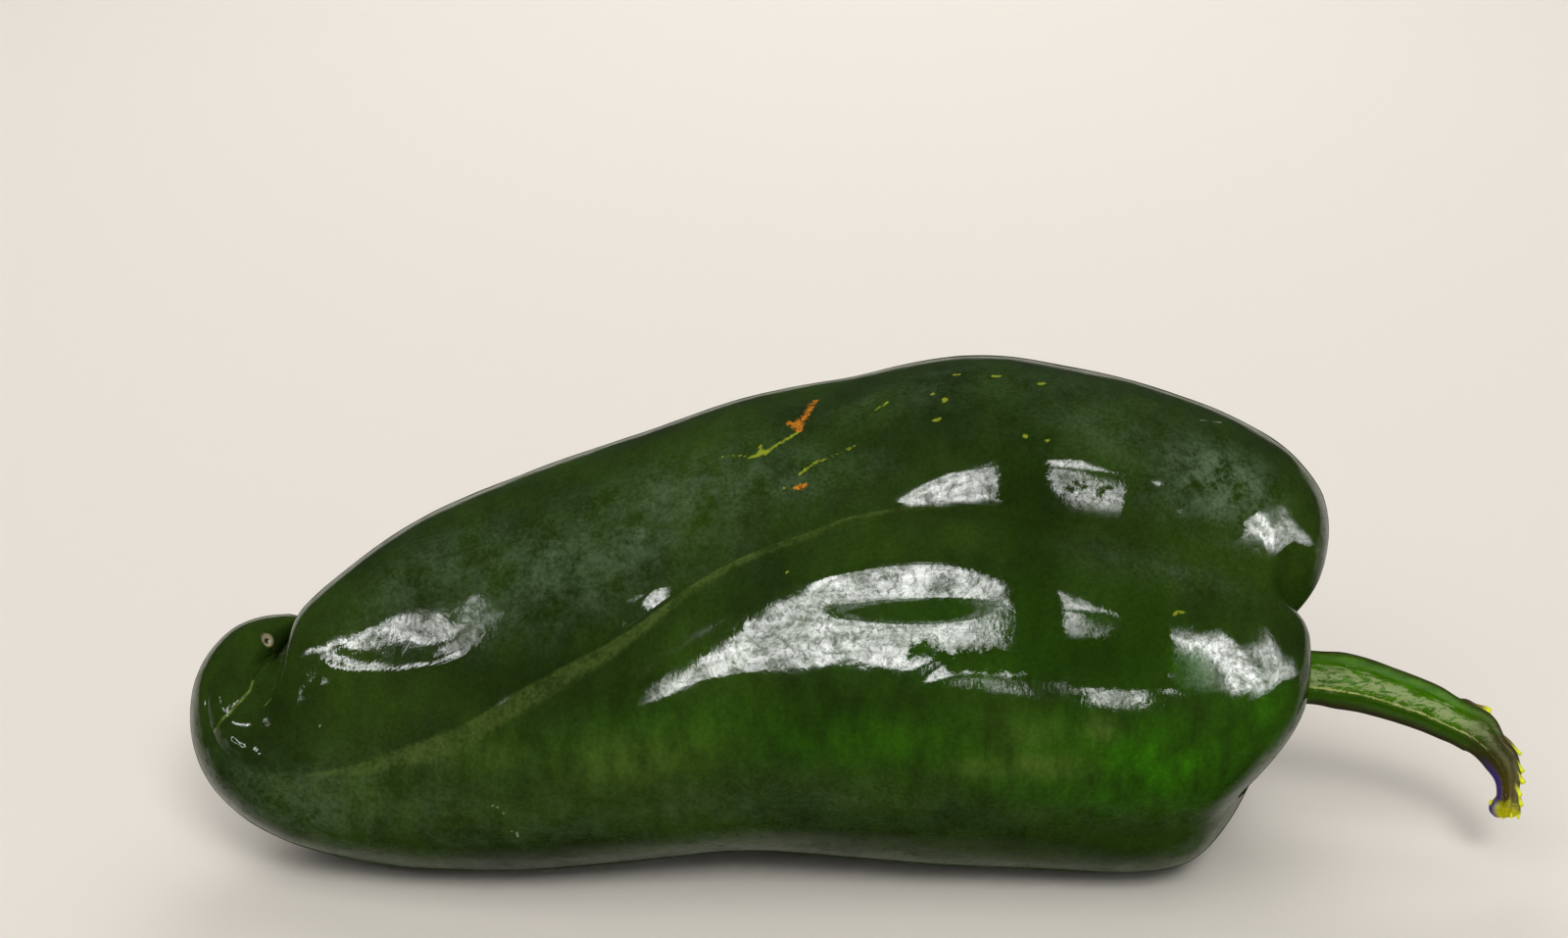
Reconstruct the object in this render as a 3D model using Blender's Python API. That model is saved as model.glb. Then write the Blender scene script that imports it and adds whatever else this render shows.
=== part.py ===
"""A poblano pepper lying on its side: the fruit is one solid, its calyx and bent stem are another."""
import math

import bmesh
import bpy
import numpy as np

MILLIMETRE = 0.001
COLLECTION_NAME = "poblano_pepper"

# The shapes are set out in millimetres as seen from the side: X runs toward the stem, U up the view and W
# toward the viewer, who looks along +Y and down by this angle.
VIEW_ELEVATION = math.radians(28.0)
ORIGIN = (11.77, 0.06)  # where the middle of the whole pepper stands in world x and y
TABLE_HEIGHT = -27.8  # the underside is flattened here, and this becomes z = 0

# Ribs of the fruit, stem end first: x and u of the upper end, x and u of the lower end, half depth and shift
# in w. Nothing regular governs them, so they are set out one by one, and a loft joins them.
RIBS = (
    (57.5, 2.9, 57.5, -14.3, 8.6, 0.0),
    (60.4, 4.6, 57.4, -15.8, 10.6, 0.0),
    (64.2, 7.6, 57.5, -17.6, 14.0, 0.0),
    (66.7, 11.8, 57.2, -20.0, 17.4, 0.0),
    (66.6, 16.2, 56.2, -22.9, 20.6, 0.0),
    (63.7, 20.7, 54.2, -25.9, 23.5, 0.0),
    (57.8, 24.8, 51.2, -28.4, 26.0, 0.0),
    (49.0, 28.3, 45.5, -29.5, 27.5, 0.0),
    (38.0, 31.1, 36.0, -29.1, 28.3, 0.0),
    (25.0, 32.8, 24.0, -28.6, 28.3, 0.0),
    (12.0, 31.0, 11.0, -27.6, 27.6, 0.0),
    (-1.4, 28.1, -1.5, -26.9, 26.5, 0.0),
    (-14.0, 23.3, -14.0, -28.0, 25.0, 0.0),
    (-27.5, 18.4, -26.0, -29.0, 22.8, 0.0),
    (-39.0, 13.2, -36.5, -29.0, 20.0, 0.0),
    (-48.5, 6.5, -45.0, -28.2, 17.0, 0.0),
    (-53.5, 2.0, -51.0, -27.1, 15.0, 0.0),
    (-55.3, -0.6, -56.5, -25.3, 13.2, 0.2),
    (-56.1, -2.6, -61.0, -22.7, 11.4, 0.4),
    (-56.7, -3.6, -64.7, -19.0, 9.8, 0.7),
    (-57.2, -3.8, -66.8, -14.5, 8.6, 1.0),
    (-57.5, -3.5, -67.4, -10.0, 7.7, 1.3),
    (-57.5, -3.0, -66.7, -6.2, 6.8, 1.6),
    (-57.4, -2.4, -64.7, -2.7, 6.0, 1.9),
    (-57.1, -1.8, -62.0, -0.2, 5.0, 2.1),
    (-56.6, -1.0, -59.2, 1.1, 3.9, 2.2),
    (-55.9, -0.3, -56.6, 1.4, 2.7, 2.2),
)
FRUIT_RINGS = 68

# The four lobes meet in furrows. Each value is keyed by rib number: the line that the furrow follows in
# degrees round the fruit (0 toward the viewer, 90 up), its depth in millimetres, and in degrees how far it
# spreads above and below that line and how round its bottom is.
FURROWS = (
    {  # from the upper lobe to the front lobe
        "line": ((0, 30), (3, 28), (6, 23.5), (8, 21), (10, 19.5), (11.2, 14.5), (12, 4.5), (12.9, -5.5),
                 (13.6, -14), (14.3, -18), (17, -20), (19.5, -20), (21, -16), (26, 0)),
        "depth": ((0, 0), (1, 2.0), (3, 5.6), (6, 5.6), (9, 4.8), (10.5, 3.6), (12, 3.2), (13.5, 2.2),
                  (14.5, 1.2), (17, 0.5), (19.5, 0.8), (22, 0.5), (26, 0)),
        "above": ((0, 14), (6, 11), (9, 9), (12, 14), (26, 16)),
        "below": ((0, 20), (9, 22), (12, 9), (14, 9), (26, 10)),
        "bottom": ((0, 6), (6, 5), (9, 4), (12, 2), (26, 3)),
    },
    {  # from the front lobe to the lower lobe
        "line": ((0, -60), (4, -60), (5.4, -58.5), (6.8, -56), (9, -64), (12, -74), (16, -80), (26, -80)),
        "depth": ((0, 0), (1, 1.0), (3, 3.4), (5, 3.0), (7, 1.6), (9, 0.8), (14, 0.4), (18, 0.3), (26, 0)),
        "above": ((0, 18), (26, 16)),
        "below": ((0, 18), (26, 16)),
        "bottom": ((0, 7), (26, 6)),
    },
    {  # from the lower lobe to the back lobe
        "line": ((0, -146), (4, -150), (26, -150)),
        "depth": ((0, 0), (1, 1.0), (3, 3.4), (6, 2.8), (10, 1.8), (14, 1.0), (20, 0.3), (26, 0)),
        "above": ((0, 18), (26, 16)),
        "below": ((0, 18), (26, 16)),
        "bottom": ((0, 8), (26, 6)),
    },
    {  # from the back lobe to the upper lobe
        "line": ((0, -218), (8, -214), (14, -210), (26, -210)),
        "depth": ((0, 0), (1, 1.0), (3, 3.8), (6, 3.6), (10, 3.0), (13, 2.0), (18, 0.8), (26, 0)),
        "above": ((0, 20), (26, 14)),
        "below": ((0, 20), (26, 14)),
        "bottom": ((0, 7), (12, 4), (26, 4)),
    },
)
LOBE_COLUMNS = (14, 14, 14, 22)  # columns of faces over the front, lower, back and upper lobe

# The front, upper and back lobes stand out past the stem end: angle, spread in degrees, reach in millimetres
SHOULDERS = ((-20, 28, 2.0), (60, 30, 0.6), (180, 30, 2.0))
SHOULDER_SHARE = ((0, 0), (1, 0.35), (3.2, 1), (5, 0.62), (9, 0), (26, 0))

# Swellings and dips of the wall: rib number, angle, spread in ribs, spread in degrees, height in millimetres
SWELLINGS = (
    (14.8, 55, 1.6, 28, 1.2),
    (15.0, 8, 1.8, 22, -1.4),
    (9.8, 1, 0.9, 7, -0.5),
    (10.3, 72, 0.6, 14, -0.6),
    (9.9, 46, 0.6, 12, -0.6),
    (8.5, -126, 2.5, 18, 0.6),
    (14.2, -126, 1.6, 20, 0.6),
)

# Calyx and stem from the hollow of the fruit outward: centre x and u, half height, half depth. The first
# section is the flat underside of the calyx, a gap away from the flat floor of the hollow.
SEAT_GAP = 0.3
STEM_SECTIONS = (
    (RIBS[0][0] + SEAT_GAP, -5.7, 7.3, 7.3),
    (58.3, -5.7, 8.0, 8.0),
    (59.1, -5.7, 7.7, 7.7),
    (60.0, -5.7, 6.5, 6.5),
    (61.0, -5.7, 5.0, 5.0),
    (62.2, -5.7, 3.9, 3.9),
    (64.0, -5.75, 3.2, 3.2),
    (66.4, -5.9, 3.0, 2.9),
    (69.4, -6.25, 3.15, 2.9),
    (72.1, -6.8, 3.0, 2.8),
    (74.7, -7.6, 2.85, 2.7),
    (77.4, -8.5, 2.75, 2.6),
    (80.2, -9.6, 2.65, 2.6),
    (82.1, -10.6, 2.5, 2.5),
    (83.6, -11.3, 2.45, 2.5),
    (85.8, -12.5, 2.5, 2.5),
    (87.2, -14.1, 2.0, 2.4),
    (88.6, -15.9, 1.95, 2.3),
    (89.2, -17.5, 1.65, 2.1),
    (89.3, -19.1, 1.3, 1.9),
    (89.2, -20.5, 1.3, 1.9),
    (88.9, -21.6, 1.8, 2.1),
    (88.9, -22.5, 1.1, 1.4),
)
STEM_RINGS = 44
STEM_COLUMNS = 30
RIDGE_COUNT = 5
RIDGE_TURN = math.radians(20.0)
# Height of the ridges and of the unevenness of the torn end, as shares of the radius keyed by section number
RIDGE_HEIGHT = ((0, 0.0), (1, 0.03), (4, 0.03), (6, 0.07), (18, 0.07), (22, 0.0))
TORN_HEIGHT = ((0, 0.0), (17, 0.0), (19, 0.1), (21, 0.2), (22, 0.2))
TORN_WAVES = (3, 7)  # waves of the torn end round the stem

SKIN_COLOR = (0.012, 0.055, 0.01, 1.0)
STEM_COLOR = (0.13, 0.28, 0.03, 1.0)


def read_keys(keys, at):
    """Values at the given places of a smooth curve through keys of a place and a value or row of values."""
    places = np.array([key[0] for key in keys], float)
    values = np.array([key[1] for key in keys], float)
    slopes = np.gradient(values, places, axis=0)
    first = np.clip(np.searchsorted(places, at, side="right") - 1, 0, len(places) - 2)
    span = places[first + 1] - places[first]
    t = (at - places[first]) / span
    if values.ndim > 1:
        span, t = span[:, None], t[:, None]
    start = values[first] * (1 + 2 * t) * (1 - t) ** 2 + span * slopes[first] * t * (1 - t) ** 2
    end = values[first + 1] * t * t * (3 - 2 * t) + span * slopes[first + 1] * t * t * (t - 1)
    return start + end


def bell(distance, spread):
    return np.exp(-((distance / spread) ** 2))


def angle_between(first, second):
    return (first - second + 180) % 360 - 180


def spread_rings(rows, count, reach):
    """Row numbers and rows of a table at count places, spaced evenly along its travel from row to row."""
    at = np.concatenate([[0], np.cumsum(reach)])
    places = np.linspace(0, at[-1], count)
    numbers = np.interp(places, at, np.arange(len(rows)))
    return numbers, read_keys(list(zip(at, rows)), places)


def ring_points(middle, up, half, depth, shift, angles, change):
    """Rings of an oval section in x, u and w, with its radius changed by a length in millimetres."""
    high = half[:, None] * np.sin(angles)
    near = depth[:, None] * np.cos(angles)
    scale = 1 + change / np.hypot(high, near)  # the change moves each point along its own radius
    x = middle[:, :1] + high * scale * up[:, :1]
    u = middle[:, 1:] + high * scale * up[:, 1:]
    return np.stack([x, u, shift[:, None] + near * scale], axis=-1)


def column_angles(numbers):
    """Angles of the columns of faces, spread evenly over each lobe so that a column follows each furrow."""
    lines = [read_keys(furrow["line"], numbers) for furrow in FURROWS]
    lines.append(lines[0] - 360)
    angles = []
    for first, last, count in zip(lines, lines[1:], LOBE_COLUMNS):
        share = np.arange(count) / count
        angles.append(first[:, None] + (last - first)[:, None] * share)
    return np.concatenate(angles, axis=1)


def wall_change(numbers, angles):
    """How far the furrows, swellings and dips move the wall of the fruit outward."""
    change = np.zeros_like(angles)
    for furrow in FURROWS:
        names = ("line", "depth", "above", "below", "bottom")
        line, depth, above, below, bottom = (read_keys(furrow[name], numbers)[:, None] for name in names)
        away = angle_between(angles, line)
        spread = np.where(away > 0, above, below)
        change -= depth * np.exp((bottom - np.hypot(away, bottom)) / spread)
    for rib, angle, ribs_wide, degrees_wide, height in SWELLINGS:
        along = bell(numbers[:, None] - rib, ribs_wide)
        change += height * along * bell(angle_between(angles, angle), degrees_wide)
    return change


def fruit_rings():
    ribs = np.array(RIBS)
    travel = np.diff(ribs, axis=0)
    reach = np.maximum(np.hypot(travel[:, 0], travel[:, 1]), np.hypot(travel[:, 2], travel[:, 3]))
    numbers, rows = spread_rings(ribs, FRUIT_RINGS, reach)
    top, bottom = rows[:, 0:2], rows[:, 2:4]
    half = np.hypot(*(top - bottom).T) / 2
    up = (top - bottom) / (2 * half[:, None])
    middle = (top + bottom) / 2
    depth, shift = rows[:, 4], rows[:, 5]
    angles = column_angles(numbers)
    rings = ring_points(middle, up, half, depth, shift, np.radians(angles), wall_change(numbers, angles))
    share = read_keys(SHOULDER_SHARE, numbers)[:, None]
    for angle, spread, stand_out in SHOULDERS:
        rings[..., 0] += share * stand_out * bell(angle_between(angles, angle), spread)
    return rings


def stem_rings():
    sections = np.array(STEM_SECTIONS)
    reach = np.linalg.norm(np.diff(sections[:, 0:3], axis=0), axis=1)
    numbers, rows = spread_rings(sections, STEM_RINGS, reach)
    middle = rows[:, 0:2]
    along = np.gradient(middle, axis=0)
    along /= np.hypot(*along.T)[:, None]
    up = np.stack([-along[:, 1], along[:, 0]], axis=1)
    angles = np.arange(STEM_COLUMNS)[None] * math.tau / STEM_COLUMNS
    radius = rows[:, 2:3]
    ridges = read_keys(RIDGE_HEIGHT, numbers)[:, None] * np.cos(RIDGE_COUNT * angles + RIDGE_TURN)
    waves = sum(np.cos(count * angles + count) for count in TORN_WAVES) / len(TORN_WAVES)
    torn = read_keys(TORN_HEIGHT, numbers)[:, None] * waves
    shift = np.zeros(STEM_RINGS)
    return ring_points(middle, up, rows[:, 2], rows[:, 3], shift, angles, radius * (ridges + torn))


def to_world(rings):
    """Points in metres with the table at z = 0, and nothing below the table."""
    x, u, w = np.moveaxis(rings, -1, 0)
    y = u * math.sin(VIEW_ELEVATION) - w * math.cos(VIEW_ELEVATION)
    z = u * math.cos(VIEW_ELEVATION) + w * math.sin(VIEW_ELEVATION)
    z = np.maximum(z, TABLE_HEIGHT)
    return np.stack([x - ORIGIN[0], y - ORIGIN[1], z - TABLE_HEIGHT], axis=-1) * MILLIMETRE


def loft(name, rings):
    """A closed mesh through unlike rings, with a fan over each end."""
    bm = bmesh.new()
    loops = [[bm.verts.new(point) for point in ring] for ring in rings.tolist()]
    for near, far in zip(loops, loops[1:]):
        for i in range(len(near)):
            j = (i + 1) % len(near)
            bm.faces.new((near[i], far[i], far[j], near[j]))
    for loop in (loops[0], loops[-1]):
        cap = bm.faces.new(loop)
        bmesh.ops.poke(bm, faces=[cap])
    bmesh.ops.triangulate(bm, faces=bm.faces)
    bmesh.ops.recalc_face_normals(bm, faces=bm.faces)
    mesh = bpy.data.meshes.new(name)
    bm.to_mesh(mesh)
    bm.free()
    return mesh


def add_object(collection, name, rings, color, roughness):
    mesh = loft(name, to_world(rings))
    material = bpy.data.materials.new(name + "_skin")
    material.use_nodes = True
    surface = material.node_tree.nodes["Principled BSDF"]
    surface.inputs["Base Color"].default_value = color
    surface.inputs["Roughness"].default_value = roughness
    mesh.materials.append(material)
    collection.objects.link(bpy.data.objects.new(name, mesh))


def main():
    for old in list(bpy.data.objects):
        bpy.data.objects.remove(old, do_unlink=True)
    collection = bpy.data.collections.new(COLLECTION_NAME)
    bpy.context.scene.collection.children.link(collection)
    add_object(collection, "pod", fruit_rings(), SKIN_COLOR, roughness=0.2)
    add_object(collection, "stem_and_calyx", stem_rings(), STEM_COLOR, roughness=0.5)


main()
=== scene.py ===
import math

import bmesh
import bpy
import numpy as np
from mathutils import Euler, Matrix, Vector


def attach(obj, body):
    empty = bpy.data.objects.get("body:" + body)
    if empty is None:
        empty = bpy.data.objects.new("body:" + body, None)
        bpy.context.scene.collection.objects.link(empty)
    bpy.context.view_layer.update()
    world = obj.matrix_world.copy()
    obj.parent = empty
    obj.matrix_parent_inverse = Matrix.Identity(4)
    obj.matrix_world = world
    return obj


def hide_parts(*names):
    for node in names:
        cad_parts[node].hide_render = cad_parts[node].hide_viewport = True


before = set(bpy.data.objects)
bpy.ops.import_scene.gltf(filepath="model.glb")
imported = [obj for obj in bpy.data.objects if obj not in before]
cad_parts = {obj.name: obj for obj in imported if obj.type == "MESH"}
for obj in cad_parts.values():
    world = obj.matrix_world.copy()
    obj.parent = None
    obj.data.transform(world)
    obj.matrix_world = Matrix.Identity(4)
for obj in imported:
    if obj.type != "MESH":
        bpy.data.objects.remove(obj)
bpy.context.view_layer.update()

print("frame loaded: " + ", ".join(sorted(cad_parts)))

mm = 0.001
viewElevation = math.radians(28)  # the fruit was laid out as seen from this height
origin = (11.77, 0.06)  # x and y, in mm, of the middle of the whole pepper
tableHeight = -27.8  # the underside is flattened here, and this is z = 0


# Curves, sections and lofts

def readKeys(keys, at):
    # a smooth curve through keys of a place and a value, or a row of values
    places = np.array([key[0] for key in keys], float)
    values = np.array([key[1] for key in keys], float)
    slopes = np.gradient(values, places, axis=0)
    first = np.clip(np.searchsorted(places, at, side="right") - 1, 0, len(places) - 2)
    span = places[first + 1] - places[first]
    t = (at - places[first]) / span
    if values.ndim > 1:
        span, t = span[:, None], t[:, None]
    start = values[first] * (1 + 2 * t) * (1 - t) ** 2 + span * slopes[first] * t * (1 - t) ** 2
    end = values[first + 1] * t * t * (3 - 2 * t) + span * slopes[first + 1] * t * t * (t - 1)
    return start + end


def readStraight(keys, at):
    return np.interp(at, [key[0] for key in keys], [key[1] for key in keys])


def bell(distance, spread):
    return np.exp(-((distance / spread) ** 2))


def angleBetween(first, second):
    return (first - second + 180) % 360 - 180


def unit(rows):
    return rows / np.linalg.norm(rows, axis=-1, keepdims=True)


def spreadRings(rows, count, reach):
    # rings at even distances along the rows, with the row number of each
    at = np.concatenate([[0], np.cumsum(reach)])
    places = np.linspace(0, at[-1], count)
    numbers = np.interp(places, at, np.arange(len(rows)))
    return numbers, readKeys(list(zip(at, rows)), places)


def ringPoints(middle, up, half, depth, shift, angles, change):
    # ellipses of the given half height and depth, moved in or out by change
    high = half[:, None] * np.sin(angles)
    near = depth[:, None] * np.cos(angles)
    scale = 1 + change / np.hypot(high, near)
    x = middle[:, :1] + high * scale * up[:, :1]
    u = middle[:, 1:] + high * scale * up[:, 1:]
    return np.stack([x, u, shift[:, None] + near * scale], axis=-1)


def toWorld(points):
    # from millimetres in the view's plane (x, up, toward the viewer) to metres on the table
    x, u, w = np.moveaxis(points, -1, 0)
    y = u * math.sin(viewElevation) - w * math.cos(viewElevation)
    z = u * math.cos(viewElevation) + w * math.sin(viewElevation)
    z = np.maximum(z, tableHeight)
    return np.stack([x - origin[0], y - origin[1], z - tableHeight], axis=-1) * mm


def addObject(name, data):
    thing = bpy.data.objects.new(name, data)
    bpy.context.scene.collection.objects.link(thing)
    return thing


def loft(name, rings):
    # a closed skin through the rings, with a fan of triangles over each end
    count, sides = rings.shape[:2]
    points = rings.reshape(-1, 3)
    index = np.arange(count * sides).reshape(count, sides)
    a, b = index[:-1], index[1:]
    quads = np.stack([a, b, np.roll(b, -1, axis=1), np.roll(a, -1, axis=1)], axis=-1).reshape(-1, 4)
    ends = [len(points), len(points) + 1]
    points = np.concatenate([points, rings[0].mean(0)[None], rings[-1].mean(0)[None]])
    faces = quads.tolist()
    for j in range(sides):
        k = (j + 1) % sides
        faces.append((ends[0], index[0, j], index[0, k]))
        faces.append((ends[1], index[-1, k], index[-1, j]))
    mesh = bpy.data.meshes.new(name)
    mesh.from_pydata(points.tolist(), [], faces)
    bm = bmesh.new()
    bm.from_mesh(mesh)
    bmesh.ops.recalc_face_normals(bm, faces=bm.faces)
    bm.to_mesh(mesh)
    bm.free()
    mesh.shade_smooth()
    return addObject(name, mesh)


def addMask(piece, name, values):
    # values are for the ring points; the two end points take zero
    attribute = piece.data.attributes.new(name, "FLOAT", "POINT")
    padded = np.concatenate([values.ravel(), np.zeros(len(piece.data.vertices) - values.size)])
    attribute.data.foreach_set("value", padded.astype(np.float32))


# Fruit

fruit = {
    "rings": 300,
    "columns": (68, 60, 60, 130),  # over the front, lower, back and upper lobe
    # top x, top u, bottom x, bottom u, half depth, shift toward the viewer
    "ribs": (
        (57.5, 2.9, 57.5, -14.3, 8.6, 0.0),
        (60.4, 4.6, 57.4, -15.8, 10.6, 0.0),
        (64.2, 7.6, 57.5, -17.6, 14.0, 0.0),
        (66.7, 11.8, 57.2, -20.0, 17.4, 0.0),
        (66.6, 16.2, 56.2, -22.9, 20.6, 0.0),
        (63.7, 20.7, 54.2, -25.9, 23.5, 0.0),
        (57.8, 24.8, 51.2, -28.4, 26.0, 0.0),
        (49.0, 28.3, 45.5, -29.5, 27.5, 0.0),
        (38.0, 31.1, 36.0, -29.1, 28.3, 0.0),
        (25.0, 32.8, 24.0, -28.6, 28.3, 0.0),
        (12.0, 31.0, 11.0, -27.6, 27.6, 0.0),
        (-1.4, 28.1, -1.5, -26.9, 26.5, 0.0),
        (-14.0, 23.3, -14.0, -28.0, 25.0, 0.0),
        (-27.5, 18.4, -26.0, -29.0, 22.8, 0.0),
        (-39.0, 13.2, -36.5, -29.0, 20.0, 0.0),
        (-48.5, 6.5, -45.0, -28.2, 17.0, 0.0),
        (-53.5, 2.0, -51.0, -27.1, 15.0, 0.0),
        (-55.3, -0.6, -56.5, -25.3, 13.2, 0.2),
        (-56.1, -2.6, -61.0, -22.7, 11.4, 0.3),
        (-56.7, -3.6, -64.7, -19.0, 9.9, 0.3),
        (-57.2, -3.8, -66.8, -14.5, 8.8, 0.0),
        (-57.5, -3.5, -67.4, -10.0, 8.2, -0.6),
        (-57.2, -3.2, -66.9, -6.0, 7.5, -1.3),
        (-56.6, -2.5, -65.1, -2.4, 6.6, -2.1),
        (-55.9, -1.5, -62.3, 0.2, 5.6, -2.9),
        (-55.0, -0.3, -59.3, 1.3, 4.4, -3.5),
        (-54.0, 0.9, -56.4, 1.6, 2.7, -4.0),
    ),
    # keyed by rib number: angle of the furrow (0 toward the viewer, 90 up), depth in mm, spread above and
    # below in degrees (below only where it differs), width of its flat bottom; the front furrow is the first
    "furrows": (
        {
            "line": ((0, 30), (3, 28), (5.4, 24), (7, 24), (8.1, 24.5), (8.9, 25.5), (9.8, 25.5),
                     (10.15, 24), (10.4, 21.5), (10.8, 18.5), (11.37, 13.5), (12, 4.5), (12.9, -5.5),
                     (13.6, -14), (14.3, -18), (17, -20), (19.5, -20), (21, -16), (26, 0)),
            "depth": ((0, 0), (1, 2.0), (3, 5.4), (6, 5.3), (9, 4.5), (10.5, 3.9), (12, 3.4), (13.2, 2.4),
                      (14.5, 2.4), (16, 2.0), (17.5, 1.3), (19.5, 0.8), (22, 0.5), (26, 0)),
            "above": ((0, 14), (6, 10), (9, 9), (12, 14), (14, 21), (16, 22), (18, 16), (26, 16)),
            "below": ((0, 20), (9, 20), (10.5, 15), (12, 14), (14, 14), (26, 10)),
            "bottom": ((0, 4), (2, 2), (3.5, 2), (5, 7), (6, 9), (7.5, 9), (8.6, 3), (9.2, 0.3), (14, 0.3),
                       (16, 0.8), (26, 3)),
            "sharp": (8.9, 15.5),  # rib numbers between which the furrow is a crisp crease
            "shelf": ((0, 0), (8.6, 0), (9.2, 0.25), (9.7, 0.5), (10.1, 0.95), (10.6, 1), (13, 1),
                      (14, 0.55), (15, 0), (26, 0)),
        },
        {
            "line": ((0, -60), (4, -60), (5.4, -58.5), (6.8, -56), (9, -64), (12, -74), (16, -80),
                     (26, -80)),
            "depth": ((0, 0), (1, 1.0), (3, 3.4), (5, 3.0), (7, 1.6), (9, 0.8), (14, 0.4), (18, 0.3),
                      (26, 0)),
            "above": ((0, 18), (26, 16)),
            "bottom": ((0, 7), (26, 6)),
        },
        {
            "line": ((0, -146), (4, -150), (26, -150)),
            "depth": ((0, 0), (1, 1.0), (3, 3.4), (6, 2.8), (10, 1.8), (14, 1.0), (20, 0.3), (26, 0)),
            "above": ((0, 18), (26, 16)),
            "bottom": ((0, 8), (26, 6)),
        },
        {
            "line": ((0, -218), (8, -214), (14, -210), (26, -210)),
            "depth": ((0, 0), (1, 1.0), (3, 3.8), (6, 3.6), (10, 3.0), (13, 2.0), (18, 0.8), (26, 0)),
            "above": ((0, 20), (26, 14)),
            "bottom": ((0, 7), (12, 4), (26, 4)),
        },
    ),
    "shelfSpread": 50,  # in degrees
    # the stem end of each lobe: angle, spread, reach in mm
    "shoulders": ((-20, 28, 2.2), (27, 9, -2.4), (60, 30, 0.6), (180, 30, 2.0)),
    "shoulderShare": ((0, 0), (1, 0.35), (3.2, 1), (5, 0.62), (9, 0), (26, 0)),
    # the nose of the upper lobe hangs over the curled tip: keyed by angle, the rib of the fold and its depth;
    # how fast the fold fades on both sides, in ribs
    "fold": {
        "rib": ((-180, 18), (0, 18), (15, 18), (22.5, 17.65), (32.5, 17.25), (39, 16.75), (48.5, 16.6),
                (59.5, 16.5), (66.5, 16.35), (80, 16.3), (180, 16.3)),
        "depth": ((-180, 0), (0, 0), (14, 0), (24, 1.0), (34, 2.2), (45, 2.8), (60, 3.0), (75, 2.4),
                  (95, 1.2), (125, 0.0), (180, 0)),
        "nearSide": 0.1,
        "farSide": 1.4,
    },
    # rib number, angle, spread in ribs, spread in degrees, height in mm
    "swellings": (
        (14.8, 55, 1.6, 28, 1.2),
        (15.0, 8, 1.8, 22, -1.4),
        (9.5, 3.0, 0.75, 5.2, -0.9),  # the dimple in the belly
        (21.0, 90, 1.1, 18, 0.95),  # fills the gap between the tip and the nose of the upper lobe
        (5.2, 28, 0.5, 7, 1.3),
        (12.03, 34, 0.14, 3.2, 0.25),  # small lumps that each catch a spot of light
        (11.81, 15, 0.16, 3.0, 0.3),
        (12.68, 22, 0.1, 6.0, 0.25),
        (7.40, 29, 0.12, 2.5, 0.3),
        (6.95, 37, 0.2, 4.0, 0.22),
        (10.3, 72, 0.6, 14, -0.6),
        (9.9, 46, 0.6, 12, -0.6),
        (8.5, -126, 2.5, 18, 0.6),
        (14.2, -126, 1.6, 20, 0.6),
        (16.0, 55, 0.8, 22, 0.5),
        (21.5, 25, 2.2, 38, 0.9),
    ),
    # creases across the tip: keyed by angle, rib number; then depth in mm, spread in ribs
    "creases": ((((-40, 19.5), (-20, 19.46), (0, 19.4), (18, 19.3), (38, 19.55), (60, 19.9)), 0.25, 0.16),),
    "creaseFade": 15,  # degrees over which each end runs out
    # raised lines: points of rib number and angle, then half width and height in mm
    "ridges": (
        (((13.49, 9.6), (13.85, 8.4), (14.33, 11.6), (14.89, 19.4), (15.39, 27)), 0.5, 0.12),
        (((12.62, 29), (12.7, 23), (12.62, 18)), 0.6, 0.1),
        (((9.6, -17), (9.4, -14), (9.2, -12), (8.9, -10.2), (8.75, -11.3)), 0.35, -0.12),
        (((18.55, -9), (18.5, -9)), 0.6, 0.3),
        (((18.05, -8.2), (17.95, -8.2)), 0.6, 0.32),
        (((17.45, -8.6), (17.3, -9.2)), 0.65, 0.35),
    ),
    # scar of the flower at the tip: rib number, angle; pit radius and depth, rim radius and height, in mm
    "flowerScar": (23.57, 30, 0.45, 0.5, 0.8, 0.25),
    "rimWidth": 0.6,  # of the scar's rim, as a share of the pit's radius
    # uneven skin: size of the lumps in mm, height in mm
    "relief": ((11.0, 0.14), (5.0, 0.08), (2.2, 0.03), (1.1, 0.01)),
    "stretch": (0.55, 1.0, 1.0),  # the lumps are longer along the fruit
}


shuffle = {"values": 8192, "primes": (73856093, 19349663, 83492791)}


def softNoise(points, seed):
    # smooth random values from -1 to 1 that change over a distance of one
    values = np.random.default_rng(seed).uniform(-1, 1, shuffle["values"])
    corner = np.floor(points).astype(np.int64)
    t = points - corner
    t = t * t * (3 - 2 * t)
    total = 0
    for step in np.ndindex(2, 2, 2):
        number = np.bitwise_xor.reduce((corner + np.array(step)) * np.array(shuffle["primes"]), axis=-1)
        share = np.prod(np.where(np.array(step) == 1, t, 1 - t), axis=-1)
        total = total + share * values[number % len(values)]
    return total


def columnAngles(numbers):
    lines = [readKeys(furrow["line"], numbers) for furrow in fruit["furrows"]]
    lines.append(lines[0] - 360)
    angles = []
    for first, last, count in zip(lines, lines[1:], fruit["columns"]):
        share = np.arange(count) / count
        angles.append(first[:, None] + (last - first)[:, None] * share)
    return np.concatenate(angles, axis=1)


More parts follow.
